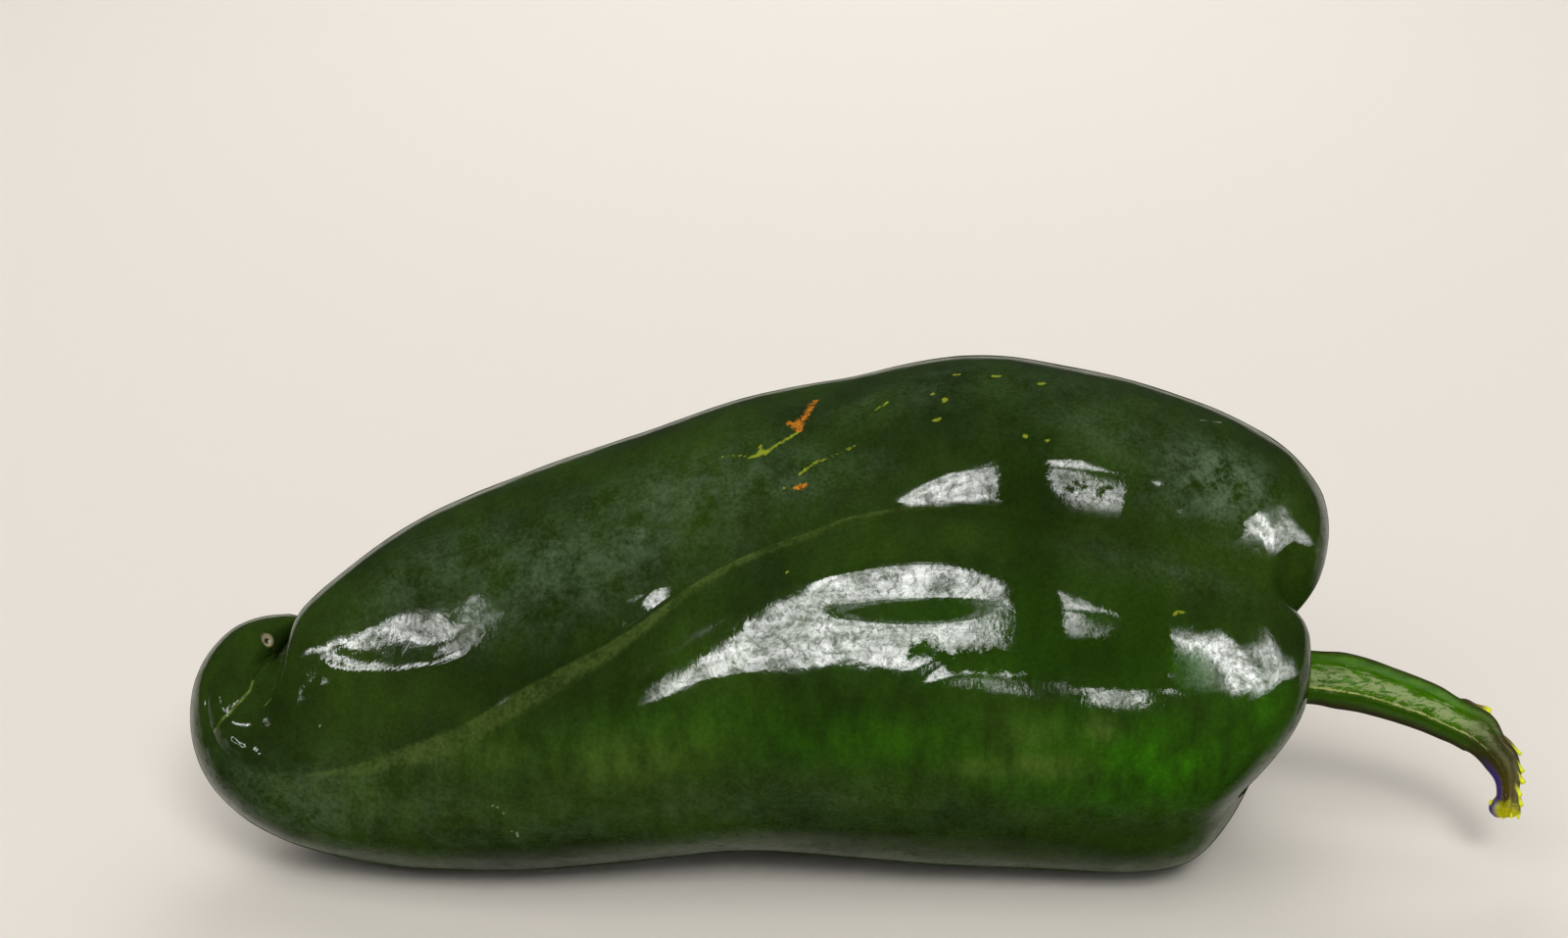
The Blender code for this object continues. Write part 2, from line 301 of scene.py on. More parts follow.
def wallChange(numbers, angles):
    change = np.zeros_like(angles)
    for furrow in fruit["furrows"]:
        furrow = {"below": furrow["above"], "shelf": ((0, 0), (26, 0)), **furrow}
        line, depth, above, below, bottom, shelf = (
            readKeys(furrow[name], numbers)[:, None]
            for name in ("line", "depth", "above", "below", "bottom", "shelf"))
        away = angleBetween(angles, line)
        spread = np.where(away > 0, above, below)
        groove = np.exp((bottom - np.hypot(away, bottom)) / spread)
        # where shelf is 1, the skin above the furrow comes down to it in one long slope
        shelf = np.clip(shelf, 0, 1) * (away > 0)
        change -= depth * ((1 - shelf) * groove + shelf * bell(away, fruit["shelfSpread"]))
    for rib, angle, ribsWide, degreesWide, height in fruit["swellings"]:
        along = bell(numbers[:, None] - rib, ribsWide)
        change += height * along * bell(angleBetween(angles, angle), degreesWide)
    return change + foldChange(numbers[:, None], angleBetween(angles, 0))


def foldChange(numbers, angles):
    fold = fruit["fold"]
    past = numbers - readStraight(fold["rib"], angles)
    reach = np.where(past > 0, fold["farSide"], fold["nearSide"])
    change = -readStraight(fold["depth"], angles) * np.exp(-np.abs(past) / reach)
    for line, depth, ribsWide in fruit["creases"]:
        first, last = line[0][0], line[-1][0]
        run = fruit["creaseFade"]
        fade = np.clip((angles - first) / run, 0, 1) * np.clip((last - angles) / run, 0, 1)
        change -= depth * fade * bell(numbers - readStraight(line, angles), ribsWide)
    return change


def placeOn(rings, numbers, angles, rib, angle):
    row = np.argmin(np.abs(numbers - rib))
    column = np.argmin(np.abs(angleBetween(angles[row], angle)))
    return rings[row, column]


def lineDistance(points, line):
    best = np.full(points.shape[:2], np.inf)
    for first, last in zip(line, line[1:]):
        along = last - first
        share = np.clip(((points - first) @ along) / max(along @ along, 1e-9), 0, 1)
        best = np.minimum(best, np.linalg.norm(points - first - share[..., None] * along, axis=-1))
    return best


def fineChange(rings, numbers, angles):
    # what is too fine for the curves above: the flower scar, the ridges and the uneven skin
    rib, angle, pitRadius, pitDepth, rimRadius, rimHeight = fruit["flowerScar"]
    away = np.linalg.norm(rings - placeOn(rings, numbers, angles, rib, angle), axis=-1)
    change = rimHeight * bell(away - rimRadius, pitRadius * fruit["rimWidth"])
    change -= pitDepth * bell(away, pitRadius)
    for line, width, height in fruit["ridges"]:
        places = [placeOn(rings, numbers, angles, rib, angle) for rib, angle in line]
        change += height * bell(lineDistance(rings, places), width)
    places = rings * np.array(fruit["stretch"])
    for seed, (size, height) in enumerate(fruit["relief"]):
        change += height * softNoise(places / size, seed)
    return change


def creaseFurrow(piece, numbers, columns):
    # the first column of points runs along the bottom of the front furrow
    first, last = fruit["furrows"][0]["sharp"]
    bottom = {row * columns for row in np.flatnonzero((numbers > first) & (numbers < last)).tolist()}
    sharp = [all(point in bottom for point in edge.vertices) for edge in piece.data.edges]
    piece.data.attributes.new("sharp_edge", "BOOLEAN", "EDGE").data.foreach_set("value", sharp)


def makeFruit():
    ribs = np.array(fruit["ribs"])
    travel = np.diff(ribs, axis=0)
    reach = np.maximum(np.hypot(travel[:, 0], travel[:, 1]), np.hypot(travel[:, 2], travel[:, 3]))
    numbers, rows = spreadRings(ribs, fruit["rings"], reach)
    top, bottom = rows[:, 0:2], rows[:, 2:4]
    half = np.hypot(*(top - bottom).T) / 2
    up = (top - bottom) / (2 * half[:, None])
    middle = (top + bottom) / 2
    depth, shift = rows[:, 4], rows[:, 5]
    angles = columnAngles(numbers)
    turns = np.radians(angles)
    change = wallChange(numbers, angles)
    smooth = ringPoints(middle, up, half, depth, shift, turns, change)
    change = change + fineChange(smooth, numbers, angles)
    rings = ringPoints(middle, up, half, depth, shift, turns, change)
    share = readKeys(fruit["shoulderShare"], numbers)[:, None]
    for angle, spread, standOut in fruit["shoulders"]:
        rings[..., 0] += share * standOut * bell(angleBetween(angles, angle), spread)
    piece = loft("podSkin", toWorld(rings))
    creaseFurrow(piece, numbers, angles.shape[1])
    return piece, numbers, angles, rings


pod, ribNumbers, ribAngles, podRings = makeFruit()
print("fruit made")


# Stem and calyx

stalk = {  # ridges and torn waves are shares of the half height, keyed by section number
    "rings": 220,
    "columns": 150,
    "sections": (  # centre x, centre u, half height, half depth
        (57.8, -5.7, 7.3, 7.3),
        (58.3, -5.7, 8.0, 8.0),
        (59.1, -5.7, 7.7, 7.7),
        (60.0, -5.7, 6.5, 6.5),
        (61.0, -5.7, 5.0, 5.0),
        (62.2, -5.7, 3.9, 3.9),
        (64.0, -5.75, 3.2, 3.2),
        (66.4, -5.9, 3.0, 2.9),
        (69.4, -6.25, 3.15, 2.9),
        (72.1, -6.8, 3.0, 2.8),
        (74.7, -7.6, 2.85, 2.7),
        (77.4, -8.5, 2.75, 2.6),
        (80.2, -9.6, 2.65, 2.6),
        (82.1, -10.6, 2.5, 2.5),
        (83.6, -11.3, 2.45, 2.5),
        (85.8, -12.5, 2.5, 2.5),
        (87.2, -14.1, 2.0, 2.4),
        (88.6, -15.9, 1.95, 2.3),
        (89.2, -17.5, 1.65, 2.1),
        (89.3, -19.1, 1.3, 1.9),
        (89.2, -20.5, 1.3, 1.9),
        (88.9, -21.6, 1.8, 2.1),
        (88.9, -22.5, 1.1, 1.4),
    ),
    "ridges": 5,
    "ridgeTurn": math.radians(20),
    "ridgeHeight": ((0, 0.0), (1, 0.03), (4, 0.03), (6, 0.07), (18, 0.07), (22, 0.0)),
    "tornHeight": ((0, 0.0), (17, 0.0), (19, 0.1), (21, 0.2), (22, 0.2)),
    "tornWaves": (3, 7),
}


def makeStalk():
    sections = np.array(stalk["sections"])
    reach = np.linalg.norm(np.diff(sections[:, 0:3], axis=0), axis=1)
    numbers, rows = spreadRings(sections, stalk["rings"], reach)
    middle = rows[:, 0:2]
    along = unit(np.gradient(middle, axis=0))
    up = np.stack([-along[:, 1], along[:, 0]], axis=1)
    angles = np.arange(stalk["columns"])[None] * math.tau / stalk["columns"]
    radius = rows[:, 2:3]
    ridges = readKeys(stalk["ridgeHeight"], numbers)[:, None]
    ridges = ridges * np.cos(stalk["ridges"] * angles + stalk["ridgeTurn"])
    waves = sum(np.cos(count * angles + count) for count in stalk["tornWaves"]) / len(stalk["tornWaves"])
    torn = readKeys(stalk["tornHeight"], numbers)[:, None] * waves
    shift = np.zeros(stalk["rings"])
    rings = ringPoints(middle, up, rows[:, 2], rows[:, 3], shift, angles, radius * (ridges + torn))
    return loft("stemSkin", toWorld(rings)), numbers, np.broadcast_to(angles, rings.shape[:2])


stem, stemNumbers, stemAngles = makeStalk()
print("stem made")


# Torn end of the stem

tornEnd = {
    "rings": 14,
    "columns": 8,
    "flatness": 0.45,  # thickness over width
    "waviness": 0.18,  # of the width, as a share of it
    "waves": 9,  # radians along a strip
    # three points (x, u, w) in mm, then the width in mm at the root and at the tip
    "strips": (
        ((83.6, -9.3, 0.4), (85.7, -9.5, 0.9), (87.3, -10.0, 0.7), 1.7, 0.6),
        ((85.8, -10.6, 0.6), (87.0, -11.0, 1.0), (87.9, -12.2, 0.7), 1.6, 0.7),
        ((87.0, -12.3, 0.8), (88.3, -13.6, 1.2), (90.2, -15.4, 0.7), 1.3, 0.5),
        ((86.8, -12.0, 1.0), (88.9, -13.3, 1.1), (90.8, -15.1, 0.8), 1.1, 0.5),
        ((87.6, -13.0, 1.5), (89.5, -15.0, 1.5), (90.95, -17.2, 1.2), 1.0, 0.5),
        ((88.0, -14.2, 1.8), (89.7, -16.6, 1.7), (91.0, -18.5, 1.2), 1.0, 0.5),
        ((88.3, -15.8, 1.9), (89.5, -18.0, 1.7), (90.6, -20.0, 1.3), 0.9, 0.4),
        ((88.7, -17.0, 1.6), (89.7, -19.2, 1.5), (90.8, -21.2, 1.0), 0.9, 0.5),
        ((89.3, -19.0, 1.2), (90.4, -21.2, 1.2), (90.4, -22.7, 0.8), 1.0, 0.4),
        ((88.9, -19.6, 1.5), (89.0, -21.3, 1.7), (89.5, -22.6, 1.3), 0.9, 0.3),
        ((88.6, -20.6, 1.0), (88.3, -21.8, 1.3), (88.6, -22.7, 1.0), 0.8, 0.3),
        ((88.9, -20.0, 0.3), (88.0, -20.6, 0.4), (87.1, -21.0, 0.3), 1.1, 0.7),
        ((88.5, -15.0, -0.6), (90.0, -16.6, -0.8), (91.0, -18.8, -0.9), 0.9, 0.2),
        ((88.9, -18.0, -0.8), (90.2, -20.0, -0.9), (90.9, -21.8, -0.8), 0.9, 0.2),
    ),
}


def makeFibres():
    pieces = []
    t = np.linspace(0, 1, tornEnd["rings"])[:, None]
    turns = np.arange(tornEnd["columns"]) * math.tau / tornEnd["columns"]
    for index, (start, bend, end, rootWidth, tipWidth) in enumerate(tornEnd["strips"]):
        start, bend, end = (np.array(point) for point in (start, bend, end))
        line = (1 - t) ** 2 * start + 2 * t * (1 - t) * bend + t * t * end
        along = np.gradient(line, axis=0)
        side = unit(np.stack([-along[:, 1], along[:, 0], 0 * along[:, 0]], axis=1))
        out = unit(np.cross(along, side))
        wave = tornEnd["waviness"] * np.sin(tornEnd["waves"] * t + index)
        width = (rootWidth + (tipWidth - rootWidth) * t) / 2 * (1 + wave)
        across = (side * width)[:, None] * np.cos(turns)[None, :, None]
        through = (out * width * tornEnd["flatness"])[:, None] * np.sin(turns)[None, :, None]
        piece = loft("fibre", toWorld(line[:, None] + across + through))
        addMask(piece, "along", np.broadcast_to(t, (tornEnd["rings"], tornEnd["columns"])))
        pieces.append(piece)
    with bpy.context.temp_override(active_object=pieces[0], selected_editable_objects=pieces):
        bpy.ops.object.join()
    pieces[0].name = "stemFibres"
    return pieces[0]


addMask(stem, "along", np.broadcast_to(stemNumbers[:, None], stemAngles.shape))
addMask(stem, "around", angleBetween(np.degrees(stemAngles), 0))
fibres = makeFibres()
print("torn end made")


# Marks on the fruit

marks = {  # each line has a radius in mm, then points of rib number and angle
    "scar": (
        (0.22, ((10.36, 71), (10.41, 66), (10.44, 61.5))),
        (0.37, ((10.44, 61.5), (10.50, 58.5), (10.52, 56.5))),
        (0.31, ((10.50, 58.5), (10.55, 59), (10.60, 60))),
        (0.19, ((10.57, 36), (10.46, 36.5))),
    ),
    "vein": (
        (0.07, ((10.52, 56), (10.60, 53), (10.71, 51.5), (10.77, 49.5), (10.85, 49.5), (10.93, 48.5))),
        (0.28, ((10.77, 49.8), (10.86, 50.2))),
        (0.12, ((10.85, 52), (10.85, 49.5))),
        (0.03, ((10.93, 48.5), (11.02, 50.5), (11.18, 51.5))),
        (0.05, ((10.63, 36.5), (10.55, 36))),
        (0.04, ((10.50, 40), (10.36, 44), (10.06, 48))),
        (0.15, ((9.72, 59.5), (9.76, 59.4))),
        (0.04, ((9.76, 59.4), (9.86, 58.6))),
        (0.15, ((9.35, 58), (9.33, 58))),
        (0.19, ((9.24, 53.5), (9.25, 54.5))),
        (0.12, ((9.33, 48), (9.30, 48))),
        (0.09, ((9.13, 64.5), (9.12, 64.5))),
        (0.19, ((8.79, 62.5), (8.75, 62.8))),
        (0.15, ((8.39, 60.5), (8.34, 60.8))),
        (0.19, ((8.56, 41.5), (8.54, 41.6))),
        (0.12, ((8.36, 41.5), (8.35, 41.5))),
        (0.05, ((7.12, 4.2), (7.04, 5.5), (6.98, 5.3))),
        (0.07, ((10.60, 11), (10.61, 11))),
    ),
    # whitish scuffs, together with small painted glints drawn as the same kind of mark
    "scuff": (
        (0.06, ((13.29, -38.5), (13.23, -39.5), (13.19, -41.5))),
        (0.06, ((13.12, -49.0), (13.08, -50.5), (13.10, -52.5))),
        (0.05, ((6.75, 62.5), (6.44, 64.5))),
        (0.1, ((15.48, 2), (15.46, 2.2))),
    ),
    "bar": (
        (2.9, ((8.55, 46), (8.6, 36), (8.56, 30), (8.5, 24), (8.5, 15))),
        (2.6, ((8.5, 15), (8.49, 7), (8.48, 0), (8.47, -6))),
        (2.3, ((8.4, -6), (8.4, -11))),
        (1.5, ((7.5, 44), (7.47, 36), (7.47, 28))),
        (2.8, ((7.45, 12), (7.43, 5), (7.4, -2), (7.37, -8))),
        (0.8, ((7.5, -1.5), (7.8, -5.2), (8.1, -7.5))),
        (0.2, ((7.75, 34.5), (7.9, 32))),
        (0.1, ((8.15, 32.5), (8.0, 32.6))),
        (1.6, ((7.3, 33), (6.9, 36), (6.5, 38), (6.1, 39.5))),
        (2.2, ((7.1, 27.5), (6.6, 31), (6.3, 34))),
        (0.4, ((9.5, -9.6), (9.25, -10.4))),
        (1.1, ((9.15, -10.8), (8.95, -10.9))),
        (1.5, ((8.95, -11), (8.7, -10.6))),
    ),
    # painted highlights: pale lines along the edge of the fold over the tip and along the crease across it
    "rim": (
        (0.02, ((16.30, 70), (16.44, 61), (16.52, 50), (16.58, 43), (16.7, 38.5))),
        (0.02, ((17.15, 33), (17.4, 29), (17.65, 23.5))),
        (0.02, ((19.60, 38), (19.42, 27), (19.36, 18.5), (19.36, 6), (19.42, -1), (19.46, -18))),
    ),
}
zones = {  # rib number, angle, spread in ribs, spread in degrees, strength
    "fresh": (
        (7.3, -33, 1.6, 14, 1.0), (9.6, -30, 1.6, 9, 0.55), (5.6, -20, 1.3, 14, 0.6),
        (8.5, -8, 2.5, 16, 0.3), (6.85, -8, 0.3, 7, 0.9), (11.5, -24, 1.6, 10, 0.35),
    ),
    "pale": (
        (12.0, -30, 0.7, 8, 0.8), (13.6, -24, 1.0, 7, 0.35), (14.2, -40, 1.6, 16, 0.3),
        (15.2, -30, 1.2, 12, 0.3), (8.35, -35, 0.45, 3.5, 1.3), (8.86, -36, 0.3, 3, 0.9),
        (7.85, -24.6, 0.17, 3.5, 1.3), (8.5, -27, 0.4, 5, 0.6),
    ),
    # part waxy bloom, part painted sheen where the skin mirrors the room's glow; the small spots are soft
    # painted highlights
    "haze": (
        (6.4, 43, 0.7, 9, 2.2), (12.0, 33, 0.12, 5, 1.6), (12.7, 33, 0.1, 8, 1.2), (12.6, 30, 1.4, 16, 0.8),
        (11.5, 42, 1.0, 14, 0.75), (13.8, 40, 1.0, 14, 0.6), (10.6, 40, 0.8, 10, 0.5), (6.7, 38, 0.8, 8, 0.7),
        (7.6, 48, 1.2, 12, 0.4), (7.1, 16, 1.0, 6, 0.45), (9.0, 62, 2.0, 12, 0.3), (16.2, -38, 2.5, 22, 0.7),
        (12.0, -50, 4.0, 12, 0.35), (7.6, -51, 2.5, 7, 0.3),
    ),
    # painted reflection: darker green where the skin mirrors the dark bars between the windows
    "dark": (
        (7.9, -8, 0.9, 10, 0.75), (8.55, 30, 0.33, 30, 0.6), (8.5, 0, 0.33, 24, 0.7), (7.4, 2, 0.33, 16, 0.7),
        (9.2, 9, 1.3, 4, 0.4),
    ),
    "matte": (
        (12.65, 20, 0.5, 12, 1.4), (12.35, 7, 0.4, 12, 1.4), (19.9, 93, 0.9, 16, 1.0),
        (21.7, 84, 1.4, 14, 1.0), (17.3, 33, 0.75, 16, 0.97), (6.5, 35, 0.4, 6, 1.4),
        (5.9, 44.5, 0.5, 4, 1.4), (16.6, 19, 0.65, 14, 2.0), (7.9, -8.2, 0.9, 4.2, 1.8),
        (12.1, -12, 0.32, 9, 1.8), (12.9, 2, 0.6, 10, 2.0), (12.85, 24, 0.35, 9, 1.6),
        (11.55, 13.2, 0.11, 5, 1.7), (15.75, 20.8, 0.2, 3, 2.0), (15.62, 22.3, 0.14, 3.5, 2.0),
    ),
}
bands = {  # along the front furrow: how far above and below it each reaches in mm, keyed by rib number
    "dull": (
        ((0, 3), (7, 2.8), (8.4, 1.8), (9, 0.8), (9.4, 0.25), (26, 0.25)),
        ((0, 2.5), (7, 2.4), (8.5, 0.8), (9.5, 0.3), (10.9, 0.5), (11.05, 7), (11.3, 8.2), (11.6, 10),
         (14.5, 10), (15.5, 4), (17, 0.4), (26, 0.3)),
    ),
    # painted sheen: a lighter olive band along the crest under the front furrow
    "crest": (
        ((0, 0.01), (9.2, 0.01), (9.8, 0.2), (13.5, 0.2), (15.5, 0.01), (26, 0.01)),
        ((0, 0.01), (9.2, 0.01), (9.8, 0.3), (10.2, 0.5), (11.4, 1.1), (12.5, 2.2), (13.6, 2.6), (14.7, 1.2),
         (16, 0.01), (26, 0.01)),
    ),
}
marking = {
    "farthest": 4.0,  # mm from a mark, beyond which distances are not kept
    "strongest": 2.0,  # of the zones
    "bandEdge": 8,  # a higher power gives a band a harder edge
    "thinnest": 0.2,  # mm: a band that reaches less fades out
}


def markFruit():
    for name, lines in marks.items():
        away = np.full(ribAngles.shape, marking["farthest"])
        for radius, line in lines:
            places = [placeOn(podRings, ribNumbers, ribAngles, rib, angle) for rib, angle in line]
            away = np.minimum(away, lineDistance(podRings, places) - radius)
        addMask(pod, name, away)
    for name, spots in zones.items():
        amount = np.zeros(ribAngles.shape)
        for rib, angle, ribsWide, degreesWide, strength in spots:
            share = bell(ribNumbers[:, None] - rib, ribsWide)
            share = strength * share * bell(angleBetween(ribAngles, angle), degreesWide)
            amount = np.maximum(amount, np.minimum(share, marking["strongest"]))
        addMask(pod, name, amount)
    line = readKeys(fruit["furrows"][0]["line"], ribNumbers)[:, None]
    radius = np.linalg.norm(podRings - podRings.mean(axis=1, keepdims=True), axis=-1)
    below = np.radians(line - ribAngles) * radius  # mm below the front furrow
    below = np.minimum(np.abs(below), np.abs(below - math.tau * radius))
    below = below * np.sign(angleBetween(line, ribAngles))
    for name, sides in bands.items():
        over, under = (readStraight(keys, ribNumbers)[:, None] for keys in sides)
        reach = np.where(below > 0, under, over)
        edge = np.exp(-((below / reach) ** marking["bandEdge"]))
        addMask(pod, name, edge * np.clip(reach / marking["thinnest"], 0, 1))
    rib, angle = fruit["flowerScar"][:2]
    away = np.linalg.norm(podRings - placeOn(podRings, ribNumbers, ribAngles, rib, angle), axis=-1)
    addMask(pod, "flowerScar", np.minimum(away, marking["farthest"]))


markFruit()


# Materials

colorMix = {"data_type": "RGBA"}
smoothly = {"interpolation_type": "SMOOTHSTEP"}
adding = {"operation": "ADD"}
scaling = {"operation": "SCALE"}
multiplying = {"operation": "MULTIPLY"}
multiplyAdding = {"operation": "MULTIPLY_ADD"}
largest = {"operation": "MAXIMUM"}


def linearColor(code):
    parts = [int(code[i:i + 2], 16) / 255 for i in (1, 3, 5)]
    return [c / 12.92 if c <= 0.04045 else ((c + 0.055) / 1.055) ** 2.4 for c in parts] + [1.0]


def newMaterial(name):
    material = bpy.data.materials.new(name)
    material.use_nodes = True
    material.node_tree.nodes.clear()
    return material


def addNode(material, kind, settings=None, **links):
    # settings hold the node's own options; links hold socket values, or (node, output) to join
    node = material.node_tree.nodes.new("ShaderNode" + kind)
    for key, value in (settings or {}).items():
        setattr(node, key, value)
    for key, value in links.items():
        socket = node.inputs[int(key[1:]) if key[1:].isdigit() else key.replace("_", " ")]
        if isinstance(value, tuple) and isinstance(value[0], bpy.types.Node):
            material.node_tree.links.new(value[0].outputs[value[1]], socket)
        else:
            socket.default_value = value
    return node


def startSkin(name, look, piece):
    # a material with the masks of the piece and the noises of its look
    m = newMaterial(name)
    values = {}
    for mask in piece.data.attributes:
        if mask.data_type == "FLOAT":
            values[mask.name] = addNode(m, "Attribute", {"attribute_name": mask.name}), "Fac"
    place = addNode(m, "TexCoord")
    place = addNode(m, "VectorMath", scaling, Vector=(place, "Object"), Scale=1 / mm)
    for key, (size, detail, roughness, distortion) in look["noises"].items():
        settings = {"noise_type": "RIDGED_MULTIFRACTAL"} if key == look.get("ridged") else None
        stretch = look["stretches"].get(key, (1, 1, 1))
        drawn = addNode(m, "VectorMath", multiplying, s0=(place, "Vector"), s1=stretch)
        values[key] = addNode(m, "TexNoise", settings, Vector=(drawn, "Vector"), Scale=1 / size,
                              Detail=detail, Roughness=roughness, Distortion=distortion), "Fac"
    return m, values


def roughen(m, value, noise, wild):
    # moves a value by up to wild either way
    push = addNode(m, "Math", multiplyAdding, s0=noise, s1=wild * 2, s2=-wild)
    return addNode(m, "Math", adding, s0=value, s1=(push, "Value")), "Value"


def layOver(m, color, tone, value, gone, full, strength=1.0, settings=None):
    # a tone over a colour: none of it where the value is at gone, its whole strength at full
    amount = addNode(m, "MapRange", settings, Value=value, From_Min=gone, From_Max=full,
                     To_Max=strength), "Result"
    return (addNode(m, "Mix", colorMix, s0=amount, s6=color, s7=tone), 2), amount


def raiseRelief(m, values, heights):
    # bumps on top of each other, with heights in mm
    below = {}
    for name, height in heights:
        bump = addNode(m, "Bump", Height=values[name], Distance=height * mm, Strength=1.0, **below)
        below["Normal"] = bump, "Normal"
    return below["Normal"]


# green chilli skin: a smooth cuticle grown with a thin, patchy coat of wax, so the eye sees sharp
# highlights, broken up like crumpled foil, over a deep green that clouds over in places, partly with the
# wax's bloom and partly with painted sheen; painted sheen also lies along the crest under the front
# furrow, painted highlights along the fold and crease of the tip, and a painted dark reflection of window
# bars
skin = {
    "deep": "#1e2c0d",
    "green": "#2a3e10",
    "fresh": "#2f6b06",
    "pale": "#4c6126",
    # part waxy bloom, part painted sheen and soft painted highlights
    "haze": "#4e6045",
    # painted sheen along the crest under the front furrow
    "crest": "#51612c",
    # painted reflection of dark window bars
    "dark": "#172a06",
    "scar": "#d98a1e",
    "cork": "#7d3d12",
    "vein": "#8f9a2a",
    # whitish scuffs, together with small painted glints
    "scuff": "#a3a58c",
    # painted highlights along the fold and the tip's crease
    "rim": "#72863c",
    "flower": "#b3a688",
    "pit": "#2a2115",
    "noises": {  # size in mm, detail, roughness, distortion
        "patch": (13.0, 3, 0.5, 0),
        "mottle": (2.6, 4, 0.65, 0),
        "cloud": (4.0, 8, 0.8, 0),
        "pore": (0.5, 3, 0.7, 0),
        "edge": (0.4545, 4, 0.7, 0),
        "cork": (0.2, 3, 0.6, 0),
        "crumb": (2.5, 6, 0.85, 0),
        "grain": (1.6, 4, 0.6, 0.6),  # about 0.4 on a real one, drawn coarser so that it shows
        "wrinkle": (0.8, 3, 0.6, 0.8),
        "crinkle": (3.0, 4, 0.5, 0.5),
        "wax": (4.5, 5, 0.7, 0),
        "speck": (0.8, 4, 0.75, 0.8),
        "foil": (3.5, 8, 0.8, 0.5),
    },
    # these are longer round the fruit
    "stretches": {"mottle": (1, 0.5, 0.5), "wrinkle": (1, 0.5, 0.5), "crinkle": (1, 0.5, 0.5)},
    "ridged": "crinkle",
    "patchRange": (0.35, 0.65),
    # zones in the order they are laid on: the noise that makes each ragged, its gain and what is added to it
    "zoneNoise": (("haze", "cloud", 4.0, -1.6), ("fresh", "mottle", 1.6, -0.3),
                  ("pale", "mottle", 1.6, -0.3), ("dark", "mottle", 1.6, -0.1)),
    "crestRange": (0.4, 0.6),
    "crestStrength": (0.1, 0.55),
    "shadeRange": (0.3, 0.7),
    "shades": (("mottle", 0.16), ("pore", 0.2)),
    # marks in the order they are laid on: softness and raggedness of the edge in mm
    "markEdges": (("rim", 0.3, 0.125), ("scuff", 0.14, 0.15), ("vein", 0.2, 0.5), ("scar", 0.2, 0.9)),
    "barEdge": (0.6, 3.0),  # the same for the dull stripes
    "markFull": -0.05,  # mm inside the edge where a mark is fully there
    "markStrength": 0.8,
    "corkRange": (0.42, 0.56),
    # round the flower scar: where each colour ends and is fully there, in mm, and its strength
    "flowerRings": (("flower", 1.1, 0.7, 0.65), ("pit", 0.5, 0.3, 1.0)),
    "heights": (("grain", 0.012), ("wrinkle", 0.009), ("crinkle", 0.012)),  # mm
    "waxRange": (0.4, 0.62),
    "roughness": (0.035, 0.09),  # with little and with much wax
    "scarRoughness": 0.3,
    "waxIor": 1.42,
    "shine": 0.5,
    # what breaks up the shine: range of the noise, the least shine
    "shineBreaks": (("speck", 0.38, 0.52, 0.35), ("foil", 0.38, 0.6, 0.2)),
    "outline": (0.7, 0.92),  # the shine fades out here, where the wax is too uneven to mirror the table
}


def paintSkin(m, values):
    color, _ = layOver(m, linearColor(skin["deep"]), linearColor(skin["green"]), values["patch"],
                       *skin["patchRange"])
    # haze lays on part waxy bloom and part painted sheen, dark lays on a painted reflection of dark window
    # bars
    for name, noise, gain, start in skin["zoneNoise"]:
        ragged = addNode(m, "Math", multiplyAdding, s0=values[noise], s1=gain, s2=start)
        amount = addNode(m, "Math", {**multiplying, "use_clamp": True}, s0=values[name],
                         s1=(ragged, "Value"))
        color = addNode(m, "Mix", colorMix, s0=(amount, "Value"), s6=color, s7=linearColor(skin[name])), 2
    # painted sheen along the crest under the front furrow
    (low, high), (least, most) = skin["crestRange"], skin["crestStrength"]
    ragged = addNode(m, "MapRange", Value=values["cloud"], From_Min=low, From_Max=high,
                     To_Min=least, To_Max=most)
    amount = addNode(m, "Math", multiplying, s0=values["crest"], s1=(ragged, "Result"))
    color = addNode(m, "Mix", colorMix, s0=(amount, "Value"), s6=color, s7=linearColor(skin["crest"])), 2
    low, high = skin["shadeRange"]
    for name, change in skin["shades"]:
        shade = addNode(m, "MapRange", Value=values[name], From_Min=low, From_Max=high,
                        To_Min=1 - change, To_Max=1 + change)
        color = addNode(m, "VectorMath", scaling, Vector=color, Scale=(shade, "Result")), "Vector"
    return color


def paintMarks(m, values, color):
    # each mark's attribute is the distance from its edge in mm, made ragged by noise
    amounts = {}
    corky, _ = layOver(m, linearColor(skin["cork"]), linearColor(skin["scar"]), values["cork"],
                       *skin["corkRange"])
    # the rim marks lay on painted highlights, and the scuff marks hold painted glints too
    for name, soft, wild in skin["markEdges"]:
        away = roughen(m, values[name], values["edge"], wild)
        tone = corky if name == "scar" else linearColor(skin[name])
        color, amounts[name] = layOver(m, color, tone, away, soft, skin["markFull"],
                                       skin["markStrength"], smoothly)
    for name, gone, full, strength in skin["flowerRings"]:
        tone = linearColor(skin[name])
        color, _ = layOver(m, color, tone, values["flowerScar"], gone, full, strength, smoothly)
    return color, amounts["scar"]


